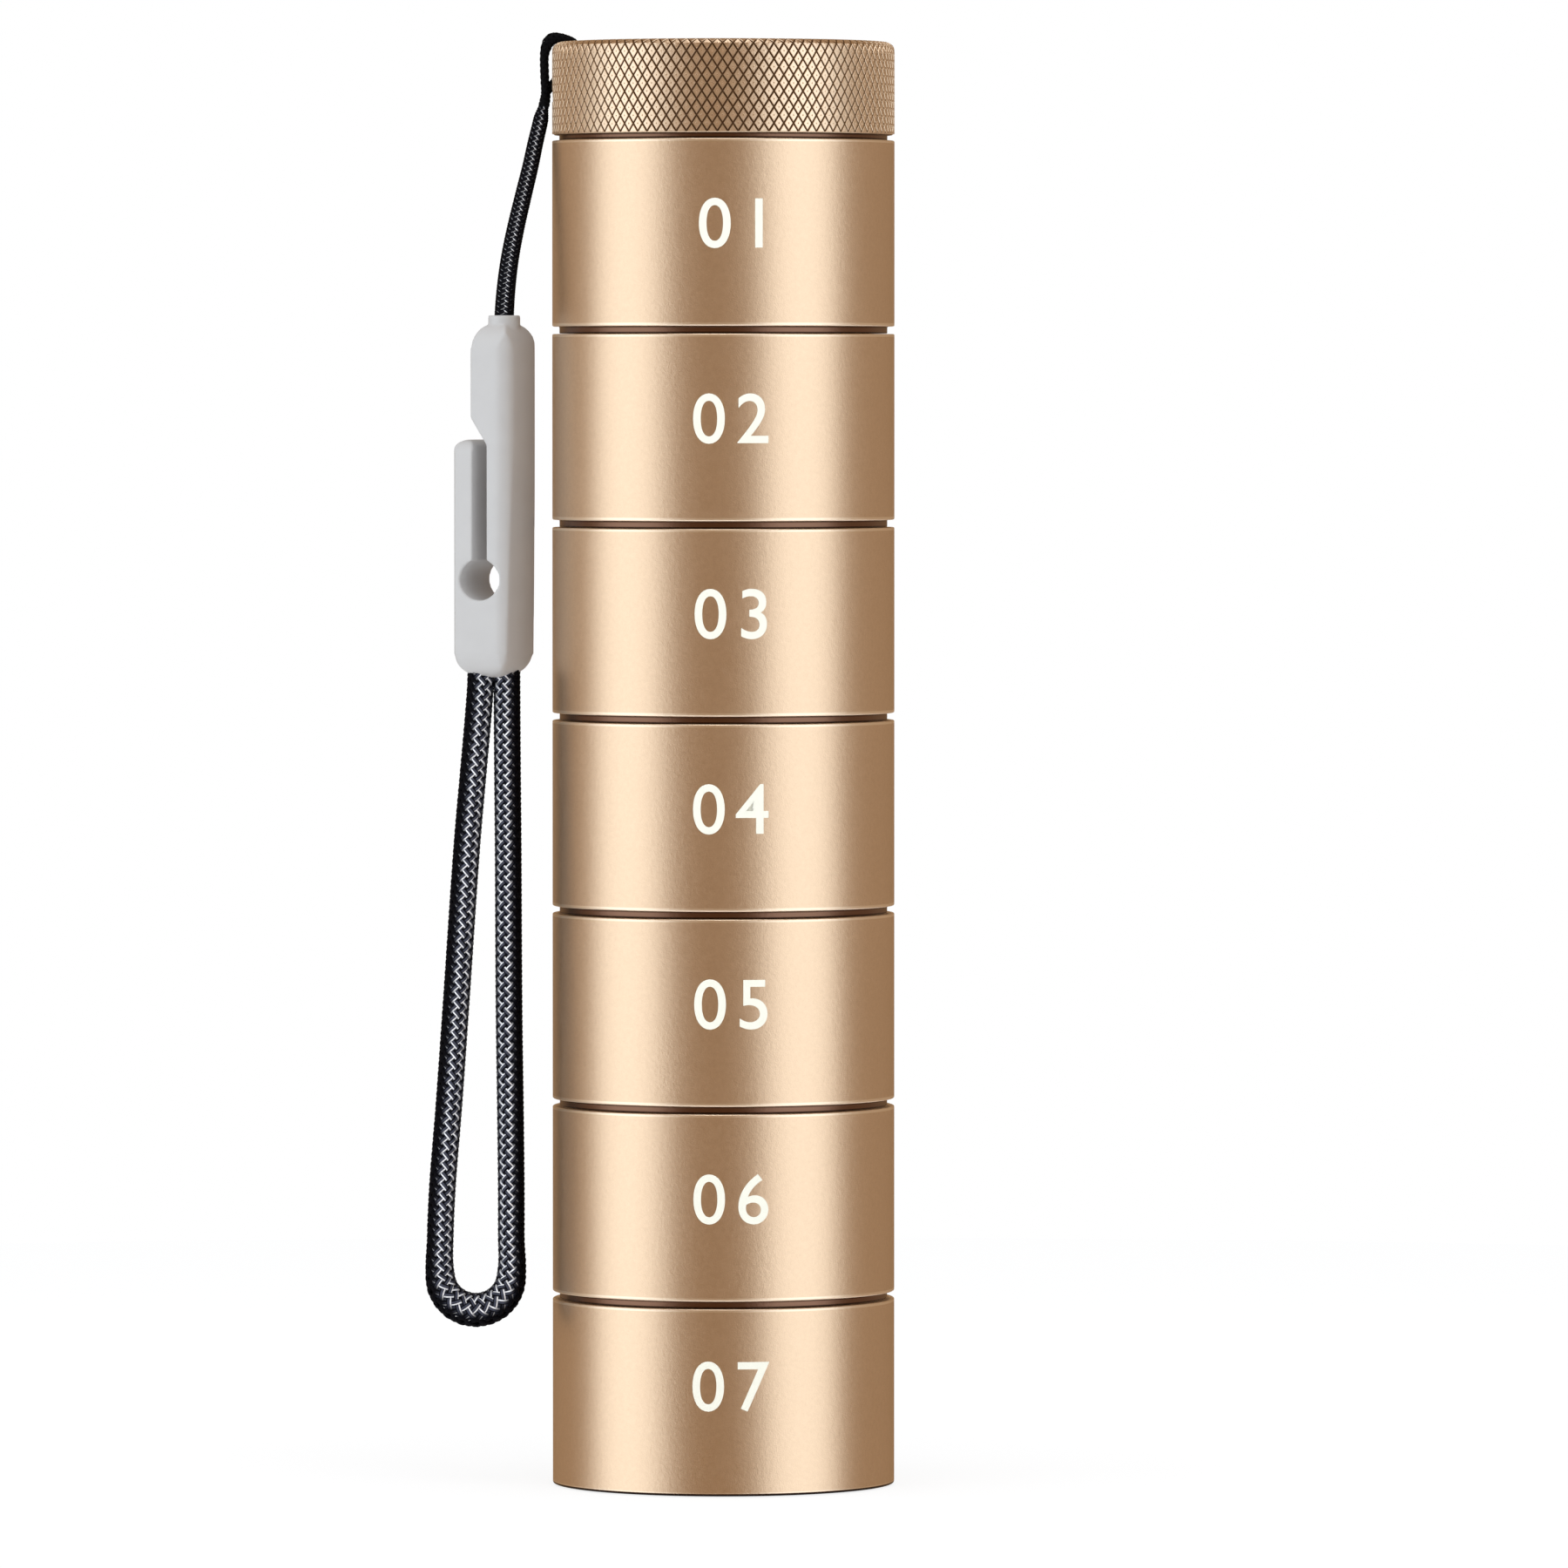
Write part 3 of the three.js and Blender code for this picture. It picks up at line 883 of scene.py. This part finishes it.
def knurlTree():
    # A staggered field of diamonds, wrapped round the wall and its rounded corner
    tree, given, result = shapeTree(
        "knurl",
        {"whole": "Object", "upper": "Object", "lower": "Object", "columns": 104, "rows": 12},
        ("radius", "diamondHeight", "startHeight", "wallHeight", "cornerRadius", "grooveDepth"),
    )
    wide = given.radius * fullTurn / given.columns
    high = given.diamondHeight * 0.5
    sheets = []
    # Whole diamonds fill the field, and half ones close its two straight borders
    plans = (("whole", given.rows - 1.0, 1.0), ("upper", 1, 0.0), ("lower", 1, given.rows))
    for kind, rows, firstRow in plans:
        grid = put(tree, "GeometryNodeMeshGrid", {"Vertices X": given.columns, "Vertices Y": rows})
        index = put(tree, "GeometryNodeInputIndex") + 0.25
        column = (index / rows).work("FLOOR")
        row = (index % rows).work("FLOOR") + firstRow
        odd = row.work("FLOORED_MODULO", 2.0)
        points = moved(grid, vectorOf((odd * 0.5 + column) * wide, row * high, 0.0))
        cell = put(tree, "GeometryNodeObjectInfo", {"Object": getattr(given, kind)}, "Geometry")
        feeds = {"Points": points, "Instance": cell}
        sheets.append(put(tree, "GeometryNodeInstanceOnPoints", feeds))
    real = put(tree, "GeometryNodeRealizeInstances", {"Geometry": joined(sheets)})
    x, y, z = partsOf(put(tree, "GeometryNodeInputPosition"))
    # Painted light: the flats get a little painted highlight, and only the lower half of each groove
    # gets painted shade
    depth = z / (given.grooveDepth * -1.0) * 1.3 - 0.3
    lean = (y - given.wallHeight).work("MAXIMUM", 0.0) / given.cornerRadius
    arm = given.cornerRadius + z
    radius = arm * lean.work("COSINE") + (given.radius - given.cornerRadius)
    level = y.work("MINIMUM", given.wallHeight) + given.startHeight
    height = arm * lean.work("SINE") + level
    place = polar(x / given.radius, radius, height)
    wrapped = moved(stored(real, "recess", depth), place)
    feeds = {"Geometry": wrapped, "Distance": 0.000004}
    return closeTree(put(tree, "GeometryNodeMergeByDistance", feeds), given, result)


def borderLoops(bm):
    # The sheet's two open edges, each sorted by angle: bottom first
    rim = {v for e in bm.edges if e.is_boundary for v in e.verts}
    middle = (min(v.co.z for v in rim) + max(v.co.z for v in rim)) / 2
    loops = []
    for side in (-1, 1):
        loop = [v for v in rim if side * (v.co.z - middle) > 0]
        loops.append(sorted(loop, key=lambda v: math.atan2(v.co.y, v.co.x) % fullTurn))
    return loops


def drillFor(eyeTop, eyeSide):
    # A round drill with flared ends, which break the eye's two edges
    along = (eyeSide - eyeTop).normalized()
    reach = (eyeSide - eyeTop).length
    radius = cap["eyeRadius"]
    turn = Vector((0, 0, 1)).rotation_difference(along).to_matrix()
    profile = [
        (0, -2), (radius + 1.2, -2), (radius + 0.12, -0.05), (radius, 0.45),
        (radius, reach - 0.6), (radius + 0.15, reach - 0.1), (radius + 1.2, reach + 1.2),
        (0, reach + 1.2),
    ]
    drill = turnedPiece("eye_drill", profile, 36)
    drill.data.transform(Matrix.Translation(eyeTop * mm) @ turn.to_4x4())
    return drill


def makeCap():
    radius = stack["radius"]
    corner = cap["cornerRadius"]
    start = capSeat + cap["knurlStart"]
    wall = capTop - corner - start
    cells = {kind: diamondCell(kind) for kind in ("whole", "upper", "lower")}
    sizes = {"radius": radius, "startHeight": start, "wallHeight": wall, "Material": champagne}
    empty = bpy.data.meshes.new("knurl")
    sheet = settle("knurl", empty, knurlTree(), {**cap, **cells, **sizes})
    for cell in cells.values():
        bpy.data.objects.remove(cell)
    bm = bmesh.new()
    bm.from_mesh(sheet)
    bottom, top = borderLoops(bm)
    print("knurl border", len(bottom), len(top), len(bm.faces))
    # The socket and the groove below the knurl
    corners = socketCorners(cap["grooveHeight"])
    corners += [(radius - 0.2, cap["grooveHeight"], 0.04), (radius - 0.16, cap["knurlStart"] - 0.03)]
    profile = [(p.x, p.y + capSeat) for p in roundedPath(corners)]
    rings = turnRings(bm, profile, anglesOf(bottom))
    bridge(bm, rings[-1], bottom)
    markGroove(bm, capSeat, cap["grooveHeight"])
    # The rest of the rounded corner, and the flat top
    lean = (cap["rows"] * cap["diamondHeight"] / 2 - wall) / corner
    crown = []
    for step in range(1, cap["cornerSteps"] + 1):
        tilt = lean + (quarterTurn - lean) * step / cap["cornerSteps"]
        across = radius - corner + corner * math.cos(tilt)
        crown.append((across, capTop - corner + corner * math.sin(tilt)))
    crown += [(12.5, capTop), (8, capTop), (4, capTop), (0, capTop)]
    bridge(bm, top, turnRings(bm, crown, anglesOf(top))[0])
    blank = pieceFrom("cap_blank", meshFrom(bm, "knurled_cap", 22), champagne)
    eyeTop = rimCorner + Vector((cap["eyeInset"], 0, 0))
    eyeSide = rimCorner - Vector((0, 0, cap["eyeDrop"]))
    cutWith(blank, drillFor(eyeTop, eyeSide), "DIFFERENCE")
    bm = bmesh.new()
    bm.from_mesh(blank.data)
    bpy.data.objects.remove(blank)
    addFemaleThread(bm, capSeat)
    piece = pieceFrom("knurled_screw_cap", meshFrom(bm, "knurled_screw_cap", 22), champagne)
    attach(piece, "cap")
    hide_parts("knurled_cap")


# The moulded clip; its heights are counted down from the collar's top
clip = {
    "turn": -32,
    "origin": (-3.9, 0, -20.4),
    "thickness": 5.3,
    "collarRadius": 1.5, "collarHeight": 1.25, "collarFoot": 2.95, "collarBore": 1.0, "collarSides": 48,
    "shoulderTop": 0.85, "shoulderHeight": 2.6, "shoulderWidth": 1.3, "shoulderDepth": 1.6,
    "upperLeft": -2.1, "upperRight": 1.95, "lowerLeft": -4.15, "lowerRight": 1.6, "taperStart": 12,
    "notchTop": 9.6, "notchBottom": 12.1,
    "hookTop": 11.6, "hookRadius": 1.15, "hookInner": 1.0, "hookCrown": 1.3,
    "slotWidth": 1.6, "slotCentre": -1.15,
    "keyholeRadius": 1.93, "keyholeStretch": 1.12, "keyholeDepth": 24.7,
    "foot": 2.2,
    "height": 33.9,
    "voxel": 0.13, "softening": 9, "footSoftening": 40,
}
slotLeft = clip["slotCentre"] - clip["slotWidth"] / 2
slotRight = clip["slotCentre"] + clip["slotWidth"] / 2


def prism(name, outline, across, depth):
    # An outline pushed through from -depth to depth along the axis named by across
    bm = bmesh.new()
    near, far = [], []
    for point in outline:
        for ring, place in ((near, -depth), (far, depth)):
            corner = list(point)
            corner.insert("xyz".index(across), place)
            ring.append(bm.verts.new(Vector(corner) * mm))
    bridge(bm, near, far)
    bm.faces.new(near)
    bm.faces.new(far)
    bmesh.ops.recalc_face_normals(bm, faces=bm.faces)
    return pieceFrom(name, meshFrom(bm, name, None))


def shoulderArc(edge, side, width):
    # A tall quarter ellipse, from its top on the collar out to the body's edge
    arc = []
    for step in range(13):
        angle = quarterTurn * step / 12
        across = edge - side * width * (1 - math.sin(angle))
        up = -clip["shoulderTop"] - clip["shoulderHeight"] * (1 - math.cos(angle))
        arc.append(Vector((across, up)))
    return arc


def keyholeArc(steps=40):
    # From the slot's right side round to its left
    wide = clip["keyholeRadius"] * clip["keyholeStretch"]
    opening = math.asin(clip["slotWidth"] / 2 / wide)
    arc = []
    for step in range(steps + 1):
        angle = quarterTurn - opening - (fullTurn - 2 * opening) * step / steps
        across = clip["slotCentre"] + wide * math.cos(angle)
        up = clip["keyholeRadius"] * math.sin(angle) - clip["keyholeDepth"]
        arc.append(Vector((across, up)))
    return arc


def frontOutline():
    c = clip
    top = -c["collarHeight"]
    before = roundedPath(
        [
            (c["upperLeft"], top),
            (c["upperLeft"], -c["notchTop"], 0.5),
            (slotRight, -c["notchBottom"], 0.35),
            (slotRight, -c["keyholeDepth"]),
        ]
    )[1:-1]
    after = roundedPath(
        [
            (slotLeft, -c["keyholeDepth"]),
            (slotLeft, -c["hookTop"], c["hookInner"]),
            (c["lowerLeft"], -c["hookTop"], c["hookRadius"]),
            (c["lowerLeft"], -c["height"], c["foot"]),
            (c["lowerRight"], -c["height"], c["foot"]),
            (c["upperRight"], -c["taperStart"]),
            (c["upperRight"], top),
        ],
        steps=8,
    )[1:-1]
    left = shoulderArc(c["upperLeft"], -1, c["shoulderWidth"])
    right = shoulderArc(c["upperRight"], 1, c["shoulderWidth"])
    return left + before + keyholeArc() + after + right[::-1]


def sideOutline():
    half = clip["thickness"] / 2
    top, low, foot = -clip["collarHeight"], -clip["height"], clip["foot"]
    corners = [(-half, top), (-half, low, foot), (half, low, foot), (half, top)]
    left = shoulderArc(-half, -1, clip["shoulderDepth"])
    right = shoulderArc(half, 1, clip["shoulderDepth"])
    return left + roundedPath(corners, steps=8)[1:-1] + right[::-1]


def planOutline():
    # Rounded at the outer edges, and a little proud, as no two faces may coincide
    proud = 0.013
    half = clip["thickness"] / 2 + proud
    left, right = clip["lowerLeft"] - proud, clip["upperRight"] + proud
    corners = [(left, -half, 0.6), (right, -half, 1.5), (right, half, 0.6), (left, half, 0.6)]
    return roundedPath(corners, closed=True, steps=6)


def hookCrown():
    # Taken off the hook's top, to round it from front to back
    half = clip["thickness"] / 2
    top = -clip["hookTop"]
    radius = clip["hookCrown"]
    reach = 3
    side, low, high = half + 1, top - radius, top + 0.6
    under = [(-half, low), (-half, top, radius), (half, top, radius), (half, low)]
    over = [(side, low), (side, high), (-side, high), (-side, low)]
    outline = roundedPath(under, steps=8) + [Vector(p) for p in over]
    crown = prism("clip_crown", outline, "x", reach)
    crown.data.transform(Matrix.Translation(Vector((slotLeft + 0.3 - reach, 0, 0)) * mm))
    return crown


def softenFoot(mesh):
    # Where the foot's two roundings meet, the mould leaves no edge
    bm = bmesh.new()
    bm.from_mesh(mesh)
    line = (clip["foot"] - clip["height"]) * mm
    foot = [v for v in bm.verts if v.co.z < line]
    axes = {"use_axis_" + axis: True for axis in "xyz"}
    for _ in range(clip["footSoftening"]):
        bmesh.ops.smooth_vert(bm, verts=foot, factor=0.5, **axes)
    bm.to_mesh(mesh)
    bm.free()


def makeClip():
    body = prism("clip_body", frontOutline(), "y", clip["thickness"] / 2)
    collar, foot, bore = clip["collarRadius"], -clip["collarFoot"], clip["collarBore"]
    sides = clip["collarSides"]
    collarShape = [(0, foot), (collar, foot), (collar, 0), (0, 0)]
    boreShape = [(0, -1), (bore, -1), (bore, 1), (0, 1)]
    cutWith(body, prism("clip_side", sideOutline(), "x", 8), "INTERSECT")
    cutWith(body, prism("clip_plan", planOutline(), "z", 40), "INTERSECT")
    cutWith(body, turnedPiece("clip_collar", collarShape, sides), "UNION")
    cutWith(body, hookCrown(), "DIFFERENCE")
    cutWith(body, turnedPiece("clip_bore", boreShape, sides), "DIFFERENCE")
    voxels = body.modifiers.new("voxels", "REMESH")
    setAll(voxels, mode="VOXEL", voxel_size=clip["voxel"] * mm)
    soften = body.modifiers.new("soften", "SMOOTH")
    setAll(soften, factor=0.5, iterations=clip["softening"])
    mesh = baked(body)
    bpy.data.objects.remove(body)
    softenFoot(mesh)
    origin = Matrix.Translation((hangPoint + Vector(clip["origin"])) * mm)
    mesh.transform(origin @ Matrix.Rotation(math.radians(clip["turn"]), 4, "Z"))
    smoothed(mesh, 70)
    print("clip faces", len(mesh.polygons))
    assert len(mesh.polygons) > 1000, "the clip came out empty"
    piece = pieceFrom("moulded_clip", mesh, plastic)
    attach(piece, "lanyard")
    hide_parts("lanyard_clip")
    return piece


# Day numbers, printed on the front of each sleeve
label = {
    "capHeight": 4.65,
    "sideways": 0.77,
    "aboveSeat": 10.2,
    "sliceWidth": 0.4,
    "slices": 20,
    "ink": 0.02,
    "letters": {"offset": 0.005, "space_character": 1.25, "extrude": 0.01, "resolution_u": 8},
}


def makeLabel(number):
    words = bpy.data.curves.new("label", "FONT")
    setAll(words, body="%02d" % number, align_x="CENTER", align_y="CENTER", **label["letters"])
    text = linked("label", words)
    mesh = baked(text)
    bpy.data.objects.remove(text)
    bm = bmesh.new()
    bm.from_mesh(mesh)
    bmesh.ops.remove_doubles(bm, verts=bm.verts, dist=0.0001)
    across = [v.co.x for v in bm.verts]
    up = [v.co.y for v in bm.verts]
    grow = label["capHeight"] / (max(up) - min(up))
    for v in bm.verts:
        v.co.x = (v.co.x - (max(across) + min(across)) / 2) * grow
        v.co.y = (v.co.y - (min(up) + max(up)) / 2) * grow
    # In narrow slices it can bend round the sleeve
    for i in range(-label["slices"], label["slices"] + 1):
        everything = bm.verts[:] + bm.edges[:] + bm.faces[:]
        plane = (i * label["sliceWidth"], 0, 0)
        bmesh.ops.bisect_plane(bm, geom=everything, plane_co=plane, plane_no=(1, 0, 0))
    radius = stack["radius"]
    level = seats[number] + label["aboveSeat"]
    for v in bm.verts:
        angle = (v.co.x + label["sideways"]) / radius
        out = radius + (label["ink"] if v.co.z > 0 else -label["ink"])
        v.co = Vector((out * math.sin(angle), -out * math.cos(angle), v.co.y + level)) * mm
    piece = pieceFrom("day_number_%d" % number, meshFrom(bm, "day_number"), ink)
    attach(piece, "compartment_%d" % number)


# Light and floor
studio = {
    "diffuse": (0.75, 0.75, 0.76),
    "glossy": (0.29, 0.175, 0.085),
    "middle": 67,
    "floorRadius": 350,
    "floorDrop": 0.1,
    "floorShine": 0.82,
}
white = (1, 1, 1)
coolLight = (0.84, 0.93, 1)
warmLight = (1, 0.97, 0.92)


def softbox(name, degrees, watts, colour, distance=600, size=(600, 800), lift=studio["middle"]):
    # Degrees are counted from the camera's side, positive towards +X
    lamp = bpy.data.lights.new(name, "AREA")
    setAll(lamp, shape="RECTANGLE", size=size[0] * mm, size_y=size[1] * mm)
    setAll(lamp, energy=watts, color=colour)
    turn = math.radians(degrees)
    place = Vector((math.sin(turn) * distance, -math.cos(turn) * distance, lift)) * mm
    aimed(name, lamp, place, Vector((0, 0, studio["middle"])) * mm).visible_camera = False


def makeWorld():
    world = bpy.data.worlds.new("studio")
    bpy.context.scene.world = world
    world.use_nodes = True
    tree = world.node_tree
    tree.nodes.clear()
    camera = put(tree, "ShaderNodeLightPath", output="Is Camera Ray")
    notDiffuse = camera.of("Is Glossy Ray").work("MAXIMUM", camera.of("Is Transmission Ray"))
    colour = blendColour(notDiffuse, studio["diffuse"], studio["glossy"])
    colour = blendColour(camera, colour, white)
    background = put(tree, "ShaderNodeBackground", {"Color": colour, "Strength": 1.0})
    feed(tree.nodes.new("ShaderNodeOutputWorld"), {0: background})


def makeFloor():
    material, tree, principled = shaderOf("pale_floor")
    feed(principled, {"Base Color": white, "Roughness": 0.9, "Specular IOR Level": 0})
    camera = put(tree, "ShaderNodeLightPath", output="Is Camera Ray")
    glow = put(tree, "ShaderNodeEmission", {"Color": white, "Strength": 1.0})
    shown = camera * studio["floorShine"]
    mixed = put(tree, "ShaderNodeMixShader", {0: shown, 1: Wire(principled.outputs[0]), 2: glow})
    # Mirrored at a flat angle, the floor lets the studio through, so the metal shows no horizon
    facing = put(tree, "ShaderNodeLayerWeight", {"Blend": 0.5}, "Facing")
    flat = rangeOf(facing, 0.35, 0.6) * camera.of("Is Glossy Ray")
    clear = put(tree, "ShaderNodeBsdfTransparent")
    seen = put(tree, "ShaderNodeMixShader", {0: flat, 1: mixed, 2: clear})
    feed(tree.get_output_node("ALL"), {0: seen})
    low = -studio["floorDrop"]
    floor = turnedPiece("floor", [(studio["floorRadius"], low), (0, low)], 96)
    floor.data.materials.append(material)


bpy.context.scene.view_settings.view_transform = "Standard"
print("camera")
makeCamera()

print("materials")
grain = grainGroup()
champagne = champagneMetal()
rubber = plainFinish("seal_rubber")
plastic = plainFinish("grey_plastic")
ink = plainFinish("white_ink")
# On both braids the white edges and light middles of the strands are painted glints and sheen, and the
# last ramp fades the cord's outer sides to navy, painted shade
braid = yarnMaterial(
    "braided_cord",
    [("navy", 0.0, 0.15), ("grey", 0.4, 0.55), ("navy", 0.7), ("white", 0.8, 1.0)],
    [(0.0, 0.15), (0.1, 0.7), (0.18, 1), (0.6, 1), (0.69, 0.3), (0.75, 0), (1.0, 0)],
)
fineBraid = yarnMaterial(
    "fine_braided_cord",
    [("navy", 0.0, 0.25), ("dusk", 0.45), ("navy", 0.6, 0.76), ("white", 0.84, 1.0)],
    [(0.0, 0), (0.2, 0.03), (0.3, 0.4), (0.4, 1), (0.5, 1), (0.6, 0.25), (0.8, 0.3), (0.9, 0)],
)
evenly = [(0.0, 1), (1.0, 1)]
# The string's strands are a little lighter along their middles
twine = yarnMaterial("black_string", [("black", 0.0), ("worn", 0.5), ("black", 1.0)], evenly)

print("cords")
strands = strandTree()
loop, loopLine, loopLength = makeCord("braided_wrist_loop", wristLoop, hangPoint, braid)
cord = makeCord("braided_upper_cord", upperCord, hangPoint, fineBraid)[0]
string = makeCord("thin_string", hangString, rimCorner, twine)[0]
servedHead = makeCord("served_head", head, hangPoint, twine)[0]

print("clip")
mouldedClip = makeClip()

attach(loop, "lanyard")
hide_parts("wrist_loop")
tuple(loopLine[0] * mm)
loopLength * mm
[tuple(p * mm) for p in loopLine[::6] + [loopLine[-1]]]
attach(cord, "lanyard")
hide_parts("lanyard_cord")
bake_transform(servedHead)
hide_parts("lanyard_head")
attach(string, "cap")
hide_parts("lanyard_string")

print("compartments")
threads = threadTree()
for number in range(1, stack["count"] + 1):
    makeCompartment(number)
    makeSealRing(number)
    makeLabel(number)

print("cap")
makeCap()

print("studio")
makeWorld()
makeFloor()
softbox("left_box", -67, 2.18, coolLight)
softbox("right_box", 54, 2.18, coolLight)
softbox("left_fill", -125, 0.13, warmLight)
softbox("right_fill", 122, 0.13, warmLight)
softbox("overhead", 0, 1.3, white, 150, (400, 400), 700)
